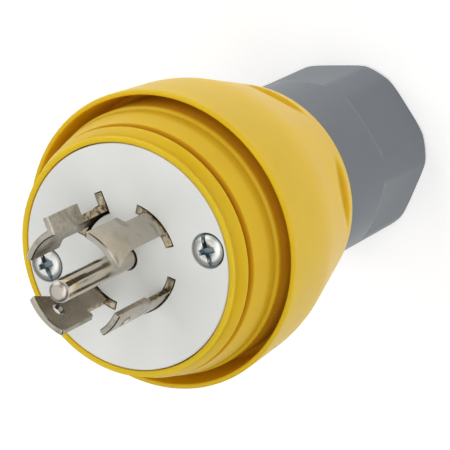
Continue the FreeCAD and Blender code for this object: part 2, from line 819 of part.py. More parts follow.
def blade_slots(prefix, half_angles, clearance, base, height, neutral_gap):
    """The room that every blade needs in the plastic, with clearance all round."""
    gap = f"asin(Sizes.{clearance} / Sizes.blade_inner_radius) / 1 deg"
    middles = {label: f"Sizes.blade_angle - {back}" for label, back in PLAIN_BLADES.items()}
    middles["neutral"] = "Sizes.neutral_angle"
    slots = []
    for label, middle in middles.items():
        half = half_angles.get(label, half_angles["plain"])
        edges = (f"{middle} - {half} - {gap}", f"{middle} + {half} + {gap}")
        inner_gap = neutral_gap if label == "neutral" else clearance
        slots.append(between(f"{prefix}_{label}", edges, clearance, base, height, inner_gap))
    return slots


# The white face: a nylon disc with a slot for each blade's foot, a hole for the pin
# and two shallow recesses for the screw heads.
def make_face_plate():
    disc = primitive("Cylinder", "face_disc", z="carrier_top", Radius="face_radius",
                     Height="face_thickness")
    doc.recompute()
    rounded = doc.addObject("Part::Fillet", "face_disc_rounded")
    rounded.Base = disc
    radius = value_of("face_edge_round")
    rounded.Edges = [(i, radius, radius) for i, edge in enumerate(disc.Shape.Edges, 1)
                     if is_ring(edge, "face_radius", "face_height")]
    half_angles = {"plain": "Sizes.head_half_angle", "neutral": "0.5 * Sizes.neutral_sweep"}
    tools = blade_slots("face_slot", half_angles, "slot_clearance", "carrier_top",
                        "face_thickness", "neutral_slot_gap")
    tools.append(leg_plate("face_leg_slot", "Sizes.neutral_leg_angle", "slot_clearance",
                           "carrier_top", "face_thickness"))
    tools.append(primitive("Cylinder", "face_pin_hole", z="carrier_top",
                           Radius="pin_radius + pin_hole_gap", Height="face_thickness"))
    for side, x in SCREW_SIDES.items():
        tools.append(primitive("Cylinder", "face_screw_hole_" + side, x=x, z="carrier_top",
                               Radius="screw_shank_radius + boss_clearance",
                               Height="face_thickness"))
        tools.append(primitive("Cylinder", "face_screw_recess_" + side, x=x,
                               z="shoulder_height", Height="screw_recess",
                               Radius="screw_head_radius + slot_clearance"))
    cut("face_plate", rounded, *tools)


# The terminal body: a nylon block behind the face that holds the blades' roots, the pin
# and the terminal screws, notched round the housing's bosses.
def make_terminal_body():
    block = primitive("Cylinder", "carrier_block", z="carrier_base", Radius="carrier_radius",
                      Height="carrier_length")
    half_angles = {"plain": "Sizes.root_half_angle"}
    tools = blade_slots("carrier_slot", half_angles, "root_clearance", "carrier_base",
                        "carrier_length", "root_clearance")
    tools.append(primitive("Cylinder", "carrier_pin_hole", z="carrier_base",
                           Radius="pin_collar_radius + thread_clearance",
                           Height="carrier_length"))
    for side, x in SCREW_SIDES.items():
        tools.append(primitive("Cylinder", "carrier_boss_notch_" + side, x=x,
                               z="carrier_base", Radius="boss_radius + boss_clearance",
                               Height="boss_top - carrier_base"))
        tools.append(primitive("Cylinder", "carrier_screw_hole_" + side, x=x, z="boss_top",
                               Radius="screw_shank_radius + boss_clearance",
                               Height="carrier_top - boss_top"))
    for name, angle in TERMINALS.items():
        hole = screw_hole("carrier_" + name, "carrier_base", "terminal_screw_depth + cut_margin")
        tools.append(rotated("carrier_place_" + name, angle, hole))
    cut("terminal_body", block, *tools)


# The ground pin: a turned brass rod, necked where it passes the face, whose collar is
# trapped under it. Its tail is riveted through a strap that carries the ground terminal.
def make_ground_pin():
    body = new_body("ground_pin")
    corners = (
        ("0", "tab_base - rivet_height"),
        ("rivet_radius", "tab_base - rivet_height"),
        ("rivet_radius", "tab_base"),
        ("pin_tail_radius", "tab_base"),
        ("pin_tail_radius", "carrier_base"),
        ("pin_collar_radius", "carrier_base"),
        ("pin_collar_radius", "carrier_top"),
        ("pin_neck_radius", "carrier_top"),
        ("pin_neck_radius", "face_height"),
        ("pin_radius", "face_height"),
        ("pin_radius", "face_height + pin_reach"),
        ("0", "face_height + pin_reach"),
    )
    revolve(body, "pin_form", outline_sketch(body, "pin_profile", "XZ_Plane", [corners]))
    round_edges(body, "pin_tip", "pin_tip_round",
                lambda edge: is_ring(edge, "pin_radius", "face_height + pin_reach"))


def make_ground_strap():
    plate = primitive("Box", "strap_plate", x="0 - rivet_radius", y="0 - half_strap_width",
                      z="tab_base", Length="tab_end_radius + rivet_radius",
                      Width="strap_width", Height="blade_thickness")
    rivet_hole = primitive("Cylinder", "strap_rivet_hole", z="tab_base",
                           Radius="pin_tail_radius + thread_clearance", Height="blade_thickness")
    strap = cut("ground_strap", plate, rivet_hole,
                screw_hole("strap", "tab_base", "blade_thickness"))
    strap.setExpression("Placement.Rotation.Angle", "Sizes.ground_angle")


# Each terminal has a steel pressure plate, drawn up by a slotted screw from behind.
def make_terminal_clamp(name, middle):
    label = "terminal_clamp_" + name
    plate = primitive("Box", label + "_plate", x="terminal_circle - half_clamp_length",
                      y="0 - half_tab_width", z="clamp_base", Length="clamp_length",
                      Width="tab_width", Height="clamp_thickness")
    clamp = cut(label, plate, screw_hole(label, "clamp_base", "clamp_thickness"))
    clamp.setExpression("Placement.Rotation.Angle", middle)


def make_terminal_screw(name, middle):
    label = "terminal_screw_" + name
    base = "clamp_base - terminal_head_length"
    head = primitive("Cylinder", label + "_head", x="terminal_circle", z=base,
                     Radius="terminal_head_radius", Height="terminal_head_length")
    shank = primitive("Cylinder", label + "_shank", x="terminal_circle", z="clamp_base",
                      Radius="terminal_screw_radius",
                      Height="terminal_screw_depth + carrier_base - clamp_base")
    slot = primitive("Box", label + "_slot", x="terminal_circle - terminal_head_radius",
                     y="0 - half_terminal_slot", z=base, Width="terminal_slot_width",
                     Height="terminal_slot_depth",
                     Length="terminal_head_radius + terminal_head_radius")
    screw = cut(label, fused(label + "_turned", head, shank), slot)
    screw.setExpression("Placement.Rotation.Angle", middle)


# The face screws: zinc-plated, oval-headed, with a slot crossed by a shorter recess.
def make_face_screw(side, x):
    body = new_body("face_screw_" + side)
    top = "shoulder_height + screw_head_height"
    corners = (
        ("0", "face_height - screw_length"),
        ("screw_shank_radius", "face_height - screw_length"),
        ("screw_shank_radius", "shoulder_height"),
        ("screw_head_radius", "shoulder_height"),
        ("screw_head_radius", top),
        ("0", top),
    )
    revolve(body, "screw_form_" + side,
            outline_sketch(body, "screw_profile_" + side, "XZ_Plane", [corners]))
    round_edges(body, "screw_crown_" + side, "screw_dome_round",
                lambda edge: is_ring(edge, "screw_head_radius", top))
    arms = (
        ("slot", "screw_head_radius", "screw_slot_width", "Sizes.screw_slot_depth"),
        ("cross", "cross_length", "cross_width", "Sizes.cross_depth"),
    )
    for name, reach, width, deep in arms:
        sketch = body.newObject("Sketcher::SketchObject", f"{name}_outline_{side}")
        attach(sketch, body, "XY_Plane", top)
        half_width = "half_" + width
        if name == "slot":
            corners = ((f"0 - {reach}", f"0 - {half_width}"), (reach, f"0 - {half_width}"),
                       (reach, half_width), (f"0 - {reach}", half_width))
        else:
            corners = ((f"0 - {half_width}", "0 - half_cross_length"),
                       (half_width, "0 - half_cross_length"),
                       (half_width, "half_cross_length"),
                       (f"0 - {half_width}", "half_cross_length"))
        add_outline(sketch, name, corners)
        pocket(body, f"{name}_{side}", sketch, deep)
    body.setExpression("Placement.Base.x", expression_of(x))
    body.setExpression("Placement.Rotation.Angle", "Sizes.screw_slot_turn")


def make_ring(label, corners):
    """A plain turned or moulded ring about the plug's axis."""
    body = new_body(label)
    revolve(body, label + "_form",
            outline_sketch(body, label + "_profile", "XZ_Plane", [corners]))
    return body


# The cord's grommet is neoprene with a tapered nose; a slip washer lets the clamp ring
# turn on it without twisting the rubber.
def make_cord_grommet():
    make_ring("cord_grommet", (
        ("cord_radius", "grommet_base"),
        ("entry_radius + gland_clearance", "grommet_base"),
        ("gland_fit_radius", "seat_top + gland_clearance"),
        ("gland_fit_radius", "grommet_top"),
        ("cord_radius", "grommet_top"),
    ))


def make_slip_washer():
    make_ring("slip_washer", (
        ("washer_bore_radius", "grommet_top"),
        ("gland_fit_radius", "grommet_top"),
        ("gland_fit_radius", "washer_top"),
        ("washer_bore_radius", "washer_top"),
    ))


# The clamp ring: a flanged nylon collet, slotted into fingers that grip the cord.
def make_clamp_ring():
    body = make_ring("cord_clamp_ring", (
        ("clamp_ring_bore_radius", "washer_top"),
        ("clamp_finger_radius", "washer_top"),
        ("clamp_finger_radius", "spigot_end - clamp_ring_flange"),
        ("gland_fit_radius", "spigot_end - clamp_ring_flange"),
        ("gland_fit_radius", "spigot_end"),
        ("clamp_ring_bore_radius", "spigot_end"),
    ))
    slot_corners = (
        ("clamp_ring_bore_radius - cut_margin", "washer_top"),
        ("gland_fit_radius", "washer_top"),
        ("gland_fit_radius", "spigot_end - clamp_ring_flange"),
        ("clamp_ring_bore_radius - cut_margin", "spigot_end - clamp_ring_flange"),
    )
    sketch = outline_sketch(body, "finger_slot_profile", "XZ_Plane", [slot_corners])
    slot = pocket(body, "finger_slot", sketch, "Sizes.clamp_slot_width", midplane=True)
    around(body, "finger_slots", slot, "Sizes.clamp_slot_count")


# The O-ring closes the joint between the nut's front end and the housing's collar.
def make_o_ring():
    ring = primitive("Torus", "o_ring", z="o_ring_height", Radius1="o_ring_radius",
                     Radius2="o_ring_section")
    ring.Label = "o_ring"


SCREW_SIDES = {"right": "screw_circle", "left": "0 - screw_circle"}
TERMINALS = {
    "x": "Sizes.blade_angle",
    "y": "Sizes.blade_angle - 180",
    "z": "Sizes.blade_angle - 90",
    "neutral": "Sizes.neutral_angle",
    "ground": "Sizes.ground_angle",
}

make_seal_boot()
make_rear_grip()
make_inner_housing()
make_face_plate()
make_terminal_body()
for blade, back in PLAIN_BLADES.items():
    make_plain_blade(blade, back)
make_neutral_blade()
make_ground_pin()
make_ground_strap()
for terminal, direction in TERMINALS.items():
    make_terminal_clamp(terminal, direction)
    make_terminal_screw(terminal, direction)
for side, place in SCREW_SIDES.items():
    make_face_screw(side, place)
    make_screw_insert(side, place)
make_cord_grommet()
make_slip_washer()
make_clamp_ring()
make_o_ring()
doc.recompute()

NODES = (
    ["seal_boot", "rear_grip", "inner_housing", "face_plate", "terminal_body"]
    + list(PLAIN_BLADES)
    + ["blade_neutral", "ground_pin", "ground_strap"]
    + ["terminal_clamp_" + terminal for terminal in TERMINALS]
    + ["terminal_screw_" + terminal for terminal in TERMINALS]
    + ["face_screw_right", "face_screw_left", "screw_insert_right", "screw_insert_left"]
    + ["cord_grommet", "slip_washer", "cord_clamp_ring", "o_ring"]
)

failed = [item.Name for item in doc.Objects if "Invalid" in item.State or "Error" in item.State]
if failed:
    raise RuntimeError(f"these objects did not build: {failed}")
os.makedirs("parts", exist_ok=True)
for node in NODES:
    part = doc.getObjectsByLabel(node)[0]
    if part.Shape.isNull() or not part.Shape.isValid():
        raise RuntimeError(f"{node} has no valid shape")
for node in NODES:
    part = doc.getObjectsByLabel(node)[0]
    part.Shape.exportStep(f"parts/{node}.step")
    solids = len(part.Shape.Solids)
    print(f"{node:24s} solids {solids}  volume {part.Shape.Volume:9.1f} mm3")
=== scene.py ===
import math

import bmesh
import bpy
from mathutils import Matrix, Vector


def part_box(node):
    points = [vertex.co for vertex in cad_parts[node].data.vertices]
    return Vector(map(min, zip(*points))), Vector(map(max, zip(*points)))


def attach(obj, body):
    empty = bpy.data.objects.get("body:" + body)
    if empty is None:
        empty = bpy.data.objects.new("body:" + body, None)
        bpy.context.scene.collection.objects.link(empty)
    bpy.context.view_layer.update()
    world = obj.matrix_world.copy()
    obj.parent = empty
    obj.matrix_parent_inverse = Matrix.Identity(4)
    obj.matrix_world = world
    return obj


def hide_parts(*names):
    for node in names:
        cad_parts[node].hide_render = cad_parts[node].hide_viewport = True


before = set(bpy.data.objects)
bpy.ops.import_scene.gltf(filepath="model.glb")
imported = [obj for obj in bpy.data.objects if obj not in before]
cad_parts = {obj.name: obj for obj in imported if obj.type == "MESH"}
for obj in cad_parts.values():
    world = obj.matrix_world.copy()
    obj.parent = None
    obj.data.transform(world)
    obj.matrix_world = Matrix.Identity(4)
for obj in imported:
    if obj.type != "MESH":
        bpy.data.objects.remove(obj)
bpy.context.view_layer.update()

# The camera looks down at the blades, 34 degrees off the plug's axis and through a long
# lens, so the nut runs away to the upper right.
CAMERA_PLACE = Vector((0.35982, 0.11623, 0.61739))
CAMERA_RIGHT = Vector((0.8424, -0.2007, -0.5007)).normalized()
CAMERA_UP = Vector((0.0766, 0.9632, -0.2565)).normalized()
CAMERA_BACK = CAMERA_RIGHT.cross(CAMERA_UP)
CAMERA_TURN = Matrix((CAMERA_RIGHT, CAMERA_UP, CAMERA_BACK)).transposed()
LENS_LENGTH = 241.4
SENSOR_WIDTH = 36

camera = bpy.data.objects.new("camera", bpy.data.cameras.new("camera"))
camera.data.lens = LENS_LENGTH
camera.data.sensor_width = SENSOR_WIDTH
camera.location = CAMERA_PLACE
camera.rotation_mode = "QUATERNION"
camera.rotation_quaternion = CAMERA_TURN.to_quaternion()
bpy.context.scene.collection.objects.link(camera)
bpy.context.scene.camera = camera
bpy.context.scene.view_settings.view_transform = "Standard"

# The studio has a pale floor, which glows a little so that it stays near white, a faint
# even light from the sky, and four large soft lights round the plug.
FLOOR_REACH = 4
FLOOR_SHADES = ((0.90, 0.90, 0.90), (0.93, 0.93, 0.93))
FLOOR_CLOUDS = 0.375
FLOOR_ROUGHNESS = 0.7
FLOOR_GLOW = 0.40
SKY_GLOW = 0.05
WHITE = (1, 1, 1, 1)
PLUG_MIDDLE = Vector((0, 0, 0.07))
LIGHT_WIDTH = 0.90
# A light stands right of the plug's middle, above it and back towards the camera, all as
# the camera sees it, by the first three numbers in metres. The last is its power in watts.
LIGHTS = {
    "left_light": ((-0.83, -0.42, 0.37), 2.2),
    "key_light": ((-0.70, 0.50, 0.30), 3.9),
    "front_light": ((0.20, 0.10, 1.00), 3.7),
    "low_light": ((-0.20, -0.52, 0.83), 3.7),
}


def surface(name, roughness, metallic=0.0):
    """A new material, with its node tree and its shader."""
    material = bpy.data.materials.new(name)
    material.use_nodes = True
    shader = material.node_tree.nodes["Principled BSDF"]
    shader.inputs["Roughness"].default_value = roughness
    shader.inputs["Metallic"].default_value = metallic
    return material, material.node_tree, shader


def object_place(tree):
    """Where a point lies in the plug's own frame, in metres."""
    return tree.nodes.new("ShaderNodeTexCoord").outputs["Object"]


def feed(tree, source, socket):
    """Gives a socket a fixed value, or links it to another node's."""
    if isinstance(source, bpy.types.NodeSocket):
        tree.links.new(source, socket)
    else:
        socket.default_value = source


def clouds(tree, place, scale, detail, waver=0.0):
    """Soft noise over a surface, about 0.5 on average."""
    noise = tree.nodes.new("ShaderNodeTexNoise")
    noise.inputs["Detail"].default_value = detail
    noise.inputs["Distortion"].default_value = waver
    feed(tree, scale, noise.inputs["Scale"])
    tree.links.new(place, noise.inputs["Vector"])
    return noise.outputs["Fac"]


def colour_mix(tree, mask, first, second):
    """Runs from one colour, fixed or another node's, to the next over a mask."""
    mix = tree.nodes.new("ShaderNodeMix")
    mix.data_type = "RGBA"
    for name, colour in (("A", first), ("B", second)):
        feed(tree, (*colour, 1) if isinstance(colour, tuple) else colour, mix.inputs[name])
    tree.links.new(mask, mix.inputs["Factor"])
    return mix.outputs["Result"]


def add_object(name, mesh, material):
    """Turns a bmesh into a smooth object at the origin."""
    data = bpy.data.meshes.new(name)
    mesh.to_mesh(data)
    mesh.free()
    data.shade_smooth()
    data.materials.append(material)
    added = bpy.data.objects.new(name, data)
    bpy.context.scene.collection.objects.link(added)
    return added


floor_paint, tree, shader = surface("studio_floor", FLOOR_ROUGHNESS)
floor_clouds = clouds(tree, object_place(tree), FLOOR_CLOUDS, detail=2)
tree.links.new(colour_mix(tree, floor_clouds, *FLOOR_SHADES), shader.inputs["Base Color"])
shader.inputs["Emission Color"].default_value = WHITE
shader.inputs["Emission Strength"].default_value = FLOOR_GLOW
floor_mesh = bmesh.new()
bmesh.ops.create_grid(floor_mesh, x_segments=1, y_segments=1, size=FLOOR_REACH)
floor = add_object("floor", floor_mesh, floor_paint)

for name, ((right, up, back), power) in LIGHTS.items():
    light = bpy.data.objects.new(name, bpy.data.lights.new(name, "AREA"))
    light.data.size = LIGHT_WIDTH
    light.data.energy = power
    offset = CAMERA_RIGHT * right + CAMERA_UP * up + CAMERA_BACK * back
    light.location = PLUG_MIDDLE + offset
    light.rotation_mode = "QUATERNION"
    light.rotation_quaternion = offset.to_track_quat("Z", "Y")
    bpy.context.scene.collection.objects.link(light)

sky = bpy.data.worlds.new("studio")
sky.use_nodes = True
sky.node_tree.nodes["Background"].inputs["Color"].default_value = WHITE
sky.node_tree.nodes["Background"].inputs["Strength"].default_value = SKY_GLOW
bpy.context.scene.world = sky

# The boot is one elastomer moulding, stretched over the housing: a ribbed nose, a deep
# cavity, and a skirt that seals over the connector. Its finish is satin, with fine grain.
MM = 0.001
FACE = round(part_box("face_plate")[1][2] / MM, 2)
# Each corner of the half section is a radius, a depth below the face and a rounding.
BOOT_SECTION = (
    (25.25, 0.0, 0.15), (26.55, 0.0, 0.30), (26.55, 0.4, 0.05), (26.1, 0.6, 0.10),
    (26.15, 1.35, 0.15), (26.65, 1.85, 0.15), (27.95, 3.9, 0.50), (26.5, 4.1, 0.10),
    (26.5, 5.3, 0.10), (28.0, 5.6, 0.15), (29.1, 9.3, 0.30), (29.25, 10.2, 0.25),
    (29.25, 12.5, 0.20), (29.95, 13.0, 0.20), (29.95, 26.9, 0.45), (31.2, 26.9, 0.45),
    (32.35, 13.5, 0.35), (33.5, 13.5, 0.50), (32.45, 31.1, 3.2), (25.95, 53.2, 0.8),
    (25.4, 55.0, 0.7), (22.0, 55.0, 0.2), (22.0, 51.0, 0.0), (22.4, 51.0, 0.0),
    (22.4, 47.5, 0.0), (25.0, 34.5, 0.0), (25.0, 5.0, 0.0), (25.25, 5.0, 0.0),
)
ROUNDING_STEPS = 5
TURNING_STEPS = 240
TURNING_WELD = 1e-7
CREASE = math.radians(50)
# The finger scoops are pressed into the skirt's long taper. It is told from the section's
# other sides by its least radius, its least length and a height that its foot is under.
TAPER_RADIUS = 26
TAPER_LENGTH = 15
TAPER_TOP = 50
TAPER_CUTS = 60
SCOOP_COUNT = 6
SCOOP_TURN = math.radians(-1.5)
SCOOP_BLEND = 0.4
BOOT_BORE = 25.2
# How far out the floor of a scoop lies, by depth below the face.
SCOOP_FLOOR = ((38.0, 32.2), (41.5, 30.0), (50.2, 25.45), (50.9, 25.45), (51.6, 26.6))
# Colour is painted darker and browner in the valleys between the ribs and down the cavity,
# as painted shade where little light from outside reaches. Deep in the cavity it is eased
# off again, painted lighter where the real light falls off further. Each stop is a depth
# below the face and how much of the painted shade is there.
VALLEY_REACH = 28.0
VALLEY_PAINTED_SHADE = ((0.35, 0.0), (0.7, 0.06), (1.5, 0.06), (2.0, 0.0), (3.85, 0.0), (4.1, 1.0),
                 (5.35, 1.0), (5.75, 0.0), (9.4, 0.0), (10.4, 0.20), (12.3, 0.35), (12.8, 0.0),
                 (13.3, 0.2), (14.2, 0.8), (17.5, 0.45), (26.6, 0.3), (27.4, 0.0))
VALLEY_SHADE_COLOUR = (0.55, 0.225, 0.001)
VALLEY_ROUGHNESS = 0.9
VALLEY_MATTNESS = 3.0
# The painted shade keeps off the skirt: it comes in from the first radius to the second.
NOSE_WALL = (31.5, 30.9)
BOOT_GLOSS = 0.32
# Light passes a little way into the yellow elastomer, red furthest.
GLOW_WEIGHT = 0.50
GLOW_REACH = 0.004
GLOW_COLOURS = (1.0, 0.72, 0.08)
# A noise's values mostly lie between these two.
NOISE_SPAN = (0.3, 0.7)
MOULDED_STRENGTH = 0.3
# Keeps the two level parts of a place and drops its height.
LEVEL_WAYS = (1, 1, 0)


def turned(section):
    """A half section with each of its corners rounded, ready to be spun."""
    mesh = bmesh.new()
    corners = [mesh.verts.new((radius * MM, 0, (FACE - depth) * MM))
               for radius, depth, _ in section]
    for corner, following in zip(corners, corners[1:] + corners[:1]):
        mesh.edges.new((corner, following))
    for corner, (_, _, rounding) in zip(corners, section):
        if rounding:
            bmesh.ops.bevel(mesh, geom=[corner], offset=rounding * MM, offset_type="OFFSET",
                            segments=ROUNDING_STEPS, profile=0.5, affect="VERTICES",
                            material=-1)
    return mesh


def divide_side(mesh, radius, length, cuts, top=FACE):
    """Divides a half section's long side past a radius, so that flats can be pressed in."""
    side = [edge for edge in mesh.edges
            if min(vert.co.x for vert in edge.verts) > radius * MM
            and min(vert.co.z for vert in edge.verts) < top * MM
            and edge.calc_length() > length * MM]
    bmesh.ops.subdivide_edges(mesh, edges=side, cuts=cuts)


def spin_full(mesh, steps):
    """Spins a half section about the plug's axis into a closed, outward-facing form."""
    bmesh.ops.spin(mesh, geom=mesh.verts[:] + mesh.edges[:], cent=(0, 0, 0), axis=(0, 0, 1),
                   angle=2 * math.pi, steps=steps, use_merge=True, use_duplicate=False)
    bmesh.ops.remove_doubles(mesh, verts=mesh.verts, dist=TURNING_WELD)
    bmesh.ops.recalc_face_normals(mesh, faces=mesh.faces)


def read_table(table, place):
    """Reads a table of (place, value) pairs, with straight runs between them."""
    for (start, first), (end, last) in zip(table, table[1:]):
        if start <= place <= end:
            return first + (last - first) * (place - start) / (end - start)
    return None


def soft_least(first, second, blend):
    """The lesser of two lengths, with the change from one to the other rounded off."""
    gap = max(blend - abs(first - second), 0) / blend
    return min(first, second) - gap * gap * blend / 4


def press_flats(mesh, count, first_angle, floor_of, blend, bore):
    """Presses flats into a turned form: no point past its bore stays outside a flat."""
    step = 2 * math.pi / count
    for vert in mesh.verts:
        radius = math.hypot(vert.co.x, vert.co.y) / MM
        reach = floor_of(vert.co.z / MM)
        if reach is None or radius < bore:
            continue
        angle = (math.atan2(vert.co.y, vert.co.x) - first_angle + step / 2) % step - step / 2
        pressed = soft_least(radius, reach / math.cos(angle), blend)
        vert.co.x *= pressed / radius
        vert.co.y *= pressed / radius


def above_face(*heights):
    """Heights above the face, in millimetres, as places along the axis in metres."""
    return [(FACE + height) * MM for height in heights]


def new_group(name, vectors, values, outputs):
    """A shader node group with its named sockets, and the nodes at its two ends."""
    group = bpy.data.node_groups.new(name, "ShaderNodeTree")
    for label in vectors:
        group.interface.new_socket(label, in_out="INPUT", socket_type="NodeSocketVector")
    for label in values:
        group.interface.new_socket(label, in_out="INPUT", socket_type="NodeSocketFloat")
    for label in outputs:
        group.interface.new_socket(label, in_out="OUTPUT", socket_type="NodeSocketFloat")
    return group, group.nodes.new("NodeGroupInput"), group.nodes.new("NodeGroupOutput")


def ranged(tree, source, start, end, low=0.0, high=1.0):
    """Runs from the low value to the high one while its source runs from start to end."""
    span = tree.nodes.new("ShaderNodeMapRange")
    for label, value in (("From Min", start), ("From Max", end), ("To Min", low),
                         ("To Max", high)):
        span.inputs[label].default_value = value
    tree.links.new(source, span.inputs["Value"])
    return span.outputs["Result"]


def worked_out(tree, kind, operation, *sources):
    """A Math or Vector Math node over its sources, each fixed or another node's."""
    node = tree.nodes.new(kind)
    node.operation = operation
    for source, socket in zip(sources, node.inputs):
        feed(tree, source, socket)
    return node


def product(tree, first, second):
    """Two values multiplied, each fixed or another node's."""
    return worked_out(tree, "ShaderNodeMath", "MULTIPLY", first, second).outputs["Value"]


def level_part(tree, vector):
    """A place without its height, so it runs straight out from the axis."""
    return worked_out(tree, "ShaderNodeVectorMath", "MULTIPLY", vector,
                      LEVEL_WAYS).outputs["Vector"]


def upward_part(tree, vector):
    """How far a place or a direction runs up the plug's axis."""
    parts = tree.nodes.new("ShaderNodeSeparateXYZ")
    tree.links.new(vector, parts.inputs["Vector"])
    return parts.outputs["Z"]


def fed_by(shader, name):
    """What now feeds one of a shader's sockets."""
    return shader.inputs[name].links[0].from_socket


def gloss_mix(tree, mask, first, second):
    """Runs from another node's roughness to a fixed one over a mask."""
    mix = tree.nodes.new("ShaderNodeMix")
    mix.inputs["B"].default_value = second
    tree.links.new(mask, mix.inputs["Factor"])
    tree.links.new(first, mix.inputs["A"])
    return mix.outputs["Result"]


def marked(tree, group, **values):
    """Places a node group in a material, with the values that this finish needs."""
    marks = tree.nodes.new("ShaderNodeGroup")
    marks.node_tree = group
    for label, value in values.items():
        marks.inputs[label].default_value = value
    tree.links.new(object_place(tree), marks.inputs["Vector"])
    return marks


def add_relief(tree, shader, height, strength, relief):
    """Raises a surface by the height that its marks give, up to a relief in metres."""
    bump = tree.nodes.new("ShaderNodeBump")
    bump.inputs["Strength"].default_value = strength
    bump.inputs["Distance"].default_value = relief
    tree.links.new(height, bump.inputs["Height"])
    tree.links.new(bump.outputs["Normal"], shader.inputs["Normal"])


moulded_grain, given, result = new_group("moulded_grain", ("Vector",), ("Grain", "Mottle"),
                                         ("Height", "Mask"))
for size, detail, output in (("Grain", 3, "Height"), ("Mottle", 5, "Mask")):
    marks = clouds(moulded_grain, given.outputs["Vector"], given.outputs[size], detail)
    moulded_grain.links.new(ranged(moulded_grain, marks, *NOISE_SPAN), result.inputs[output])


def moulded(name, first, second, roughness, grain, mottle, relief):
    """A moulded plastic or rubber: two close shades, uneven gloss and a fine grain."""
    material, tree, shader = surface(name, roughness[0])
    marks = marked(tree, moulded_grain, Grain=grain, Mottle=mottle).outputs
    tree.links.new(colour_mix(tree, marks["Mask"], first, second), shader.inputs["Base Color"])
    tree.links.new(ranged(tree, marks["Mask"], 0, 1, *roughness), shader.inputs["Roughness"])
    add_relief(tree, shader, marks["Height"], MOULDED_STRENGTH, relief)
    return material


elastomer = moulded("boot_elastomer", (0.805, 0.505, 0.006), (0.845, 0.545, 0.011),
                    (0.34, 0.46), grain=2600, mottle=90, relief=0.00004)
tree = elastomer.node_tree
shader = tree.nodes["Principled BSDF"]
shader.inputs["Specular IOR Level"].default_value = BOOT_GLOSS
shader.inputs["Subsurface Weight"].default_value = GLOW_WEIGHT
shader.inputs["Subsurface Scale"].default_value = GLOW_REACH
shader.inputs["Subsurface Radius"].default_value = GLOW_COLOURS
place = object_place(tree)
painted_shade_ramp = tree.nodes.new("ShaderNodeValToRGB")
stops = painted_shade_ramp.color_ramp.elements
# New stops start midway, and then each is moved to its own depth.
while len(stops) < len(VALLEY_PAINTED_SHADE):
    stops.new(0.5)
for stop, (depth, strength) in zip(stops, VALLEY_PAINTED_SHADE):
    stop.position = depth / VALLEY_REACH
    stop.color = (strength, strength, strength, 1)
tree.links.new(ranged(tree, upward_part(tree, place), *above_face(0, -VALLEY_REACH)),
               painted_shade_ramp.inputs["Fac"])
off_axis = worked_out(tree, "ShaderNodeVectorMath", "LENGTH", level_part(tree, place))
on_nose = ranged(tree, off_axis.outputs["Value"], *[radius * MM for radius in NOSE_WALL])
# The base colour is painted towards the valleys' darker brown here, as painted shade.
painted_valley_shade = product(tree, painted_shade_ramp.outputs["Color"], on_nose)
tree.links.new(colour_mix(tree, painted_valley_shade, fed_by(shader, "Base Color"), VALLEY_SHADE_COLOUR),
               shader.inputs["Base Color"])
mattness = worked_out(tree, "ShaderNodeMath", "MULTIPLY", painted_valley_shade, VALLEY_MATTNESS)
mattness.use_clamp = True
tree.links.new(gloss_mix(tree, mattness.outputs["Value"], fed_by(shader, "Roughness"),
                         VALLEY_ROUGHNESS), shader.inputs["Roughness"])

boot_mesh = turned(BOOT_SECTION)
divide_side(boot_mesh, TAPER_RADIUS, TAPER_LENGTH, TAPER_CUTS, TAPER_TOP)
spin_full(boot_mesh, TURNING_STEPS)
press_flats(boot_mesh, SCOOP_COUNT, SCOOP_TURN, lambda z: read_table(SCOOP_FLOOR, FACE - z),
            SCOOP_BLEND, BOOT_BORE)
boot = add_object("boot", boot_mesh, elastomer)
boot.data.set_sharp_from_angle(angle=CREASE)
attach(boot, "root")
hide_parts("seal_boot")

# The gland nut is moulded in grey nylon, with six spanner flats that fade into the round
# towards the boot, and a mouth for the cord.
NUT_SECTION = (
    (12.0, FACE, 0.8), (21.4, FACE, 1.3), (21.4, 54.0, 0.4), (18.65, 54.0, 0.3),
    (18.65, 70.5, 0.0), (16.0, 70.5, 0.0), (16.0, 91.5, 0.0), (12.0, 95.5, 0.3),
)
NUT_FLATS = 6
NUT_TURN = math.radians(24.0)
NUT_BLEND = 0.35
NUT_BORE = 18
NUT_SIDE_RADIUS = 21
NUT_SIDE_LENGTH = 20
NUT_SIDE_CUTS = 80
# How far out a flat lies, by height above the nut's mouth.
NUT_FLOOR = ((0.0, 19.9), (21.6, 19.9), (23.6, 21.9))

grey_nylon = moulded("nut_nylon", (0.133, 0.153, 0.179), (0.149, 0.169, 0.194),
                     (0.36, 0.46), grain=1800, mottle=60, relief=0.00005)
nut_mesh = turned(NUT_SECTION)
divide_side(nut_mesh, NUT_SIDE_RADIUS, NUT_SIDE_LENGTH, NUT_SIDE_CUTS)
spin_full(nut_mesh, TURNING_STEPS)
press_flats(nut_mesh, NUT_FLATS, NUT_TURN, lambda z: read_table(NUT_FLOOR, z),
            NUT_BLEND, NUT_BORE)
nut = add_object("gland_nut", nut_mesh, grey_nylon)
nut.data.set_sharp_from_angle(angle=CREASE)
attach(nut, "root")
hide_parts("rear_grip")


# The housing is the stiff core that the boot is stretched over and the nut screws onto.
# It is hidden by them, and moulded from the same grey nylon as the nut.
def refinish(node, material):
    """Gives a CAD node, whose shape is right as it is, a finish of its own."""
    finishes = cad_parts[node].data.materials
    finishes.clear()
    finishes.append(material)


refinish("inner_housing", grey_nylon)

# The face is a disc of pale nylon with a smooth satin skin. The terminal body under it,
# which shows only in the gaps round the blades, is coloured near black as painted shade
# in those gaps.
FACE_EASE = 0.12
COPY_WELD = 1e-6
FLAT_ANGLE = math.radians(0.5)
SHARP_ANGLE = math.radians(28)
EASED_STEPS = 2

pale_nylon = moulded("face_nylon", (0.835, 0.845, 0.812), (0.872, 0.882, 0.850),
                     (0.34, 0.44), grain=1500, mottle=70, relief=0.00003)
gap_shade_black = moulded("terminal_gap_shade", (0.020, 0.020, 0.021), (0.030, 0.030, 0.031),
                      (0.45, 0.60), grain=1500, mottle=70, relief=0.00003)


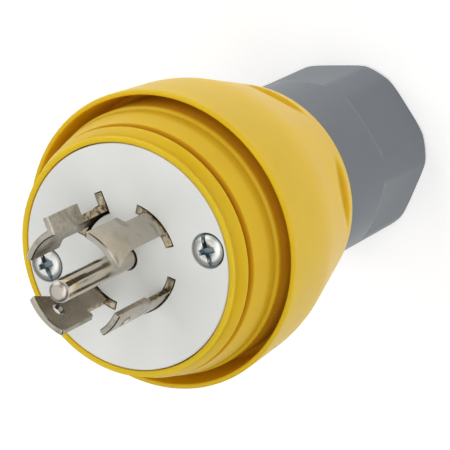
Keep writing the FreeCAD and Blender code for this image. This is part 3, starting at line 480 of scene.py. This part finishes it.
def merged_copy(node):
    """A bmesh of a CAD node with its loose triangles joined."""
    mesh = bmesh.new()
    mesh.from_mesh(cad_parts[node].data)
    bmesh.ops.remove_doubles(mesh, verts=mesh.verts, dist=COPY_WELD)
    return mesh


def eased_copy(name, node, material, width, edge_highlight=None):
    """A copy of a CAD node with its sharp edges rounded and, if one is given, a lighter material
    on them as a painted highlight.
    """
    mesh = merged_copy(node)
    bmesh.ops.dissolve_limit(mesh, angle_limit=FLAT_ANGLE, verts=mesh.verts,
                             edges=mesh.edges)
    sharp = [edge for edge in mesh.edges
             if edge.is_manifold and edge.calc_face_angle() > SHARP_ANGLE]
    eased = bmesh.ops.bevel(mesh, geom=sharp, offset=width * MM, offset_type="OFFSET",
                            segments=EASED_STEPS, profile=0.5, affect="EDGES", material=-1,
                            clamp_overlap=True)
    # The rounded edges take the second, lighter material, a painted highlight.
    if edge_highlight:
        for edge_face in eased["faces"]:
            edge_face.material_index = 1
    copy = add_object(name, mesh, material)
    if edge_highlight:
        copy.data.materials.append(edge_highlight)
    weighting = copy.modifiers.new("flat_sides", "WEIGHTED_NORMAL")
    weighting.keep_sharp = True
    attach(copy, "root")
    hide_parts(node)


eased_copy("face", "face_plate", pale_nylon, FACE_EASE)
# The near-black terminal body is painted shade for the gaps round the blades.
refinish("terminal_body", gap_shade_black)

# The blades are stamped from brass strip, rolled to one circle and nickel plated. The
# plating is bright on the outside, darker and browner inside, and thin on the sheared
# edges. The rounded edges are painted lighter, a painted highlight along them.
BLADE_EASE = 0.11
PLATED_STRENGTH = 0.25
PLATING_DETAIL = 4
# The plating's shades are coarser than its brush marks: their noise has this share of the
# marks' scale.
SHADE_SHARE = 0.12
# The sides are told apart by their normals. The inside looks back at the plug's axis. A
# sheared edge looks neither along a radius nor up.
INSIDE = (-0.35, -0.80)
SHEARED = (0.80, 0.40)
# The inside's brown is patchy, but nowhere weaker than this.
PATCH_SCALE = 260
PATCH_SPAN = (0.30, 0.55)
PATCH_LEAST = 0.55
# Sheared edges are better above the first of these heights over the face, and worst below
# the second.
FOOT_WEAR = (9.6, 8.6)
UPPER_WEAR = 0.18
# The feet, just above the face, are tarnished all over.
FOOT_HEIGHT = (1.6, 0.9)
FOOT_TARNISH = 0.75
# Grey stains lie on the bright plating, and dark specks where it is thin.
STAIN_SCALE = 170
STAIN_WAVER = 0.8
STAIN_SPAN = (0.50, 0.68)
STAIN_MOST = 0.8
SPECK_SCALE = 900
SPECK_SPAN = (0.42, 0.60)
INSIDE_BROWN = (0.33, 0.285, 0.22)
STAINED = (0.25, 0.235, 0.195)
THIN_PLATING = ((0.60, 0.49, 0.31), (0.13, 0.095, 0.05))

plating_marks, given, result = new_group("plating_marks", ("Vector", "Stretch"), ("Scale",),
                                         ("Height", "Mask"))
place, scale = given.outputs["Vector"], given.outputs["Scale"]
brushed = worked_out(plating_marks, "ShaderNodeVectorMath", "MULTIPLY", place,
                     given.outputs["Stretch"]).outputs["Vector"]
brush_marks = clouds(plating_marks, brushed, scale, PLATING_DETAIL)
shades = clouds(plating_marks, place, product(plating_marks, scale, SHADE_SHARE),
                PLATING_DETAIL)
plating_marks.links.new(brush_marks, result.inputs["Height"])
plating_marks.links.new(shades, result.inputs["Mask"])


def plated(name, first, second, roughness, stretch, scale, relief):
    """A plated or bare metal with fine marks along one direction and uneven gloss."""
    material, tree, shader = surface(name, roughness[0], metallic=1.0)
    marks = marked(tree, plating_marks, Stretch=stretch, Scale=scale).outputs
    tree.links.new(colour_mix(tree, marks["Mask"], first, second), shader.inputs["Base Color"])
    tree.links.new(ranged(tree, marks["Mask"], *NOISE_SPAN, *roughness),
                   shader.inputs["Roughness"])
    add_relief(tree, shader, marks["Height"], PLATED_STRENGTH, relief)
    return material


def looks_away(tree, share):
    """A mask of where a normal has only a small share of a direction, such as up."""
    size = worked_out(tree, "ShaderNodeMath", "ABSOLUTE", share).outputs["Value"]
    return ranged(tree, size, *SHEARED)


strip_sides, given, result = new_group("strip_sides", ("Vector", "Normal"), ("Patches",),
                                       ("Inside", "Sheared", "Specks", "Stain"))
place, normal = given.outputs["Vector"], given.outputs["Normal"]
outward = worked_out(strip_sides, "ShaderNodeVectorMath", "NORMALIZE",
                     level_part(strip_sides, place)).outputs["Vector"]
facing = worked_out(strip_sides, "ShaderNodeVectorMath", "DOT_PRODUCT", normal,
                    outward).outputs["Value"]
patches = clouds(strip_sides, place, given.outputs["Patches"], detail=3)
inside = product(strip_sides, ranged(strip_sides, facing, *INSIDE),
                 ranged(strip_sides, patches, *PATCH_SPAN, low=PATCH_LEAST))
sheared = product(strip_sides, looks_away(strip_sides, facing),
                  looks_away(strip_sides, upward_part(strip_sides, normal)))
height = upward_part(strip_sides, place)
wear = ranged(strip_sides, height, *above_face(*FOOT_WEAR), low=UPPER_WEAR)
tarnish = ranged(strip_sides, height, *above_face(*FOOT_HEIGHT), high=FOOT_TARNISH)
thin = worked_out(strip_sides, "ShaderNodeMath", "MAXIMUM",
                  product(strip_sides, sheared, wear), tarnish).outputs["Value"]
stains = clouds(strip_sides, place, STAIN_SCALE, detail=2, waver=STAIN_WAVER)
specks = clouds(strip_sides, place, SPECK_SCALE, detail=4)
for output, mask in (("Inside", inside), ("Sheared", thin),
                     ("Stain", ranged(strip_sides, stains, *STAIN_SPAN, high=STAIN_MOST)),
                     ("Specks", ranged(strip_sides, specks, *SPECK_SPAN))):
    strip_sides.links.new(mask, result.inputs[output])

nickel = plated("blade_nickel", (0.40, 0.365, 0.31), (0.54, 0.50, 0.435), (0.20, 0.32),
                stretch=(1, 1, 0.12), scale=1800, relief=0.00003)
tree = nickel.node_tree
shader = tree.nodes["Principled BSDF"]
sides = marked(tree, strip_sides, Patches=PATCH_SCALE)
tree.links.new(tree.nodes.new("ShaderNodeNewGeometry").outputs["Normal"], sides.inputs["Normal"])
colour = fed_by(shader, "Base Color")
colour = colour_mix(tree, sides.outputs["Stain"], colour, STAINED)
colour = colour_mix(tree, sides.outputs["Inside"], colour, INSIDE_BROWN)
worn = colour_mix(tree, sides.outputs["Specks"], *THIN_PLATING)
tree.links.new(colour_mix(tree, sides.outputs["Sheared"], colour, worn),
               shader.inputs["Base Color"])
# This lighter nickel goes on the rounded edges, a painted highlight along them.
edge_highlight_nickel = plated("edge_highlight_nickel", (0.66, 0.62, 0.54), (0.86, 0.82, 0.74), (0.24, 0.36),
                     stretch=(1, 1, 1), scale=1800, relief=0.00003)
for blade in ("blade_x", "blade_y", "blade_z", "blade_neutral"):
    eased_copy(blade + "_plated", blade, nickel, BLADE_EASE, edge_highlight_nickel)

# The ground pin is turned from brass rod and plated like the blades. Its tail is riveted
# through the strap, a plated strip that carries the ground terminal.
PIN_SECTION = (
    (0.0, -26.9, 0.0), (2.48, -26.9, 1.25), (2.48, 0.0, 0.0), (2.18, 0.0, 0.0),
    (2.18, 5.0, 0.0), (3.28, 5.0, 0.12), (3.28, 34.5, 0.0), (1.6, 34.5, 0.0),
    (1.6, 36.02, 0.0), (2.8, 36.02, 0.2), (2.8, 36.92, 0.5), (0.0, 36.92, 0.0),
)
PIN_STEPS = 96
PIN_CREASE = math.radians(40)
ON_AXIS = 1e-6
# The tip is fine-turned: paler and less glossy than the side, from its rounding on.
TIP_START = (25.2, 26.2)
TIP_COLOUR = (0.58, 0.53, 0.475)
TIP_ROUGHNESS = 0.36

pin_nickel = plated("pin_nickel", (0.55, 0.50, 0.425), (0.64, 0.585, 0.50), (0.10, 0.16),
                    stretch=(1, 1, 0.04), scale=1500, relief=0.00002)
tree = pin_nickel.node_tree
shader = tree.nodes["Principled BSDF"]
tip = ranged(tree, upward_part(tree, object_place(tree)), *above_face(*TIP_START))
tree.links.new(colour_mix(tree, tip, fed_by(shader, "Base Color"), TIP_COLOUR),
               shader.inputs["Base Color"])
tree.links.new(gloss_mix(tree, tip, fed_by(shader, "Roughness"), TIP_ROUGHNESS),
               shader.inputs["Roughness"])
pin_mesh = turned(PIN_SECTION)
centre_line = [edge for edge in pin_mesh.edges
               if max(vert.co.x for vert in edge.verts) < ON_AXIS]
bmesh.ops.delete(pin_mesh, geom=centre_line, context="EDGES")
spin_full(pin_mesh, PIN_STEPS)
pin = add_object("ground_pin_plated", pin_mesh, pin_nickel)
pin.data.set_sharp_from_angle(angle=PIN_CREASE)
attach(pin, "root")
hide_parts("ground_pin")
refinish("ground_strap", nickel)

# The face screws are zinc-plated steel, with an oval head that has a slot and a shorter
# cross recess. The recess is painted dark as painted shade, and the rim as a painted shadow.
screw_low, screw_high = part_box("face_screw_right")
SCREW_CIRCLE = round((screw_low[0] + screw_high[0]) / 2 / MM, 2)
HEAD_RADIUS = round((screw_high[0] - screw_low[0]) / 2 / MM, 2)
HEAD_TOP = round(screw_high[2] / MM, 2)
HEAD_ROUND = 1.6
# A point is in the recess when it lies this far below the head's dome and in from its edge.
RECESS_SKIN = 0.24
# Past this radius the rim is painted dark, a painted shadow round the head.
SHADOWED_RIM = 3.42
SCREW_TURN = {"right": math.radians(-6), "left": 0}

zinc = plated("screw_zinc", (0.78, 0.76, 0.69), (0.95, 0.97, 0.96), (0.40, 0.52),
              stretch=(1, 1, 1), scale=2400, relief=0.00003)
shade_zinc = plated("recess_shade_zinc", (0.085, 0.130, 0.150), (0.320, 0.400, 0.420), (0.22, 0.40),
                   stretch=(1, 1, 1), scale=6000, relief=0.00004)


def darkened(centre, middle):
    """True where a point of a screw is painted dark: below the dome of its head as painted
    shade, or out at its rim as a painted shadow.
    """
    across = math.hypot(centre.x / MM - middle, centre.y / MM)
    past_crown = max(across - HEAD_RADIUS + HEAD_ROUND, 0)
    dome = HEAD_TOP - HEAD_ROUND + math.sqrt(max(HEAD_ROUND ** 2 - past_crown ** 2, 0))
    sunk = across < HEAD_RADIUS - RECESS_SKIN and centre.z / MM < dome - RECESS_SKIN
    return sunk or across > SHADOWED_RIM


for side, middle in (("right", SCREW_CIRCLE), ("left", -SCREW_CIRCLE)):
    screw = add_object(f"face_screw_{side}_plated", merged_copy(f"face_screw_{side}"), zinc)
    screw.data.set_sharp_from_angle(angle=SHARP_ANGLE)
    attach(screw, "root")
    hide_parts(f"face_screw_{side}")
    screw.data.materials.append(shade_zinc)
    axis = Matrix.Translation((middle * MM, 0, 0))
    screw.data.transform(axis @ Matrix.Rotation(SCREW_TURN[side], 4, "Z") @ axis.inverted())
    # Faces in the recess and at the rim take the dark zinc: painted shade and a painted shadow.
    for polygon in screw.data.polygons:
        if darkened(polygon.center, middle):
            polygon.material_index = 1

# Inside, each terminal has a steel pressure plate and a zinc-plated screw that draws it
# up. The face screws turn into brass inserts, which are moulded into the housing.
clamp_steel = plated("clamp_steel", (0.58, 0.59, 0.60), (0.66, 0.66, 0.66), (0.25, 0.38),
                     stretch=(1, 1, 1), scale=900, relief=0.00003)
brass = plated("insert_brass", (0.70, 0.50, 0.20), (0.78, 0.58, 0.26), (0.22, 0.34),
               stretch=(1, 1, 6), scale=900, relief=0.00003)
for kind, material in (("terminal_clamp", clamp_steel), ("terminal_screw", zinc),
                       ("screw_insert", brass)):
    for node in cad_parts:
        if node.startswith(kind):
            refinish(node, material)

# The cord's grommet and the O-ring, which seal the gland and the joint at the housing's
# collar, are of black neoprene. The slip washer and the clamp ring are of white nylon.
neoprene = moulded("cord_neoprene", (0.018, 0.018, 0.019), (0.028, 0.028, 0.029),
                   (0.55, 0.68), grain=2200, mottle=70, relief=0.00005)
white_nylon = moulded("clamp_nylon", (0.62, 0.61, 0.58), (0.68, 0.67, 0.64),
                      (0.40, 0.50), grain=1500, mottle=60, relief=0.00003)
for node, material in (("cord_grommet", neoprene), ("o_ring", neoprene),
                       ("slip_washer", white_nylon), ("cord_clamp_ring", white_nylon)):
    refinish(node, material)
